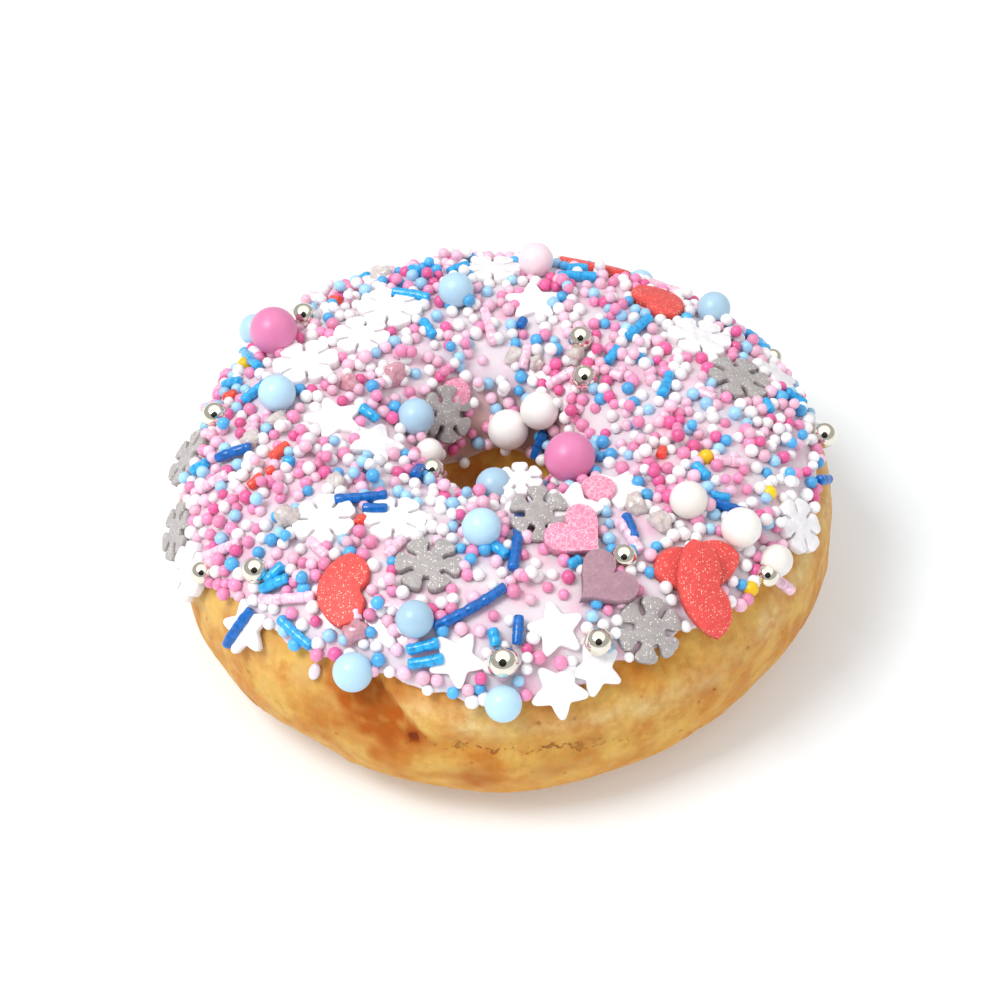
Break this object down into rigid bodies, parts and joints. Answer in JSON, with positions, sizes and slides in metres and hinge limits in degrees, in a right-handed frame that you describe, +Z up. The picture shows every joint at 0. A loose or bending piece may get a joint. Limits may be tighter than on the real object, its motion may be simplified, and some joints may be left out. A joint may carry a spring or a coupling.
{
  "type": "doughnut",
  "caption": "Ring doughnut of golden fried dough, its top under white icing thickly covered with pink, white and blue sugar sprinkles, pearls and flat sugar shapes.",
  "frame": {"origin": "centre of the ring on the surface it rests on, the middle of the underside of the whole part's box", "axes": "+Z up through the hole, out of the iced side; -Y towards the side that the picture shows in front; +X to the right of that view"},
  "size_m": [0.097, 0.0966, 0.0381],
  "materials": {
    "fried_dough": "golden fried crust, slightly oily, paler round the girth",
    "sugar_icing": "glossy white sugar icing with sugar sprinkles in pink, white, blue, red and silver"
  },
  "bodies": {
    "root": {"dough_ring": "fried_dough", "icing_with_sprinkles": "sugar_icing"}
  },
  "joints": []
}
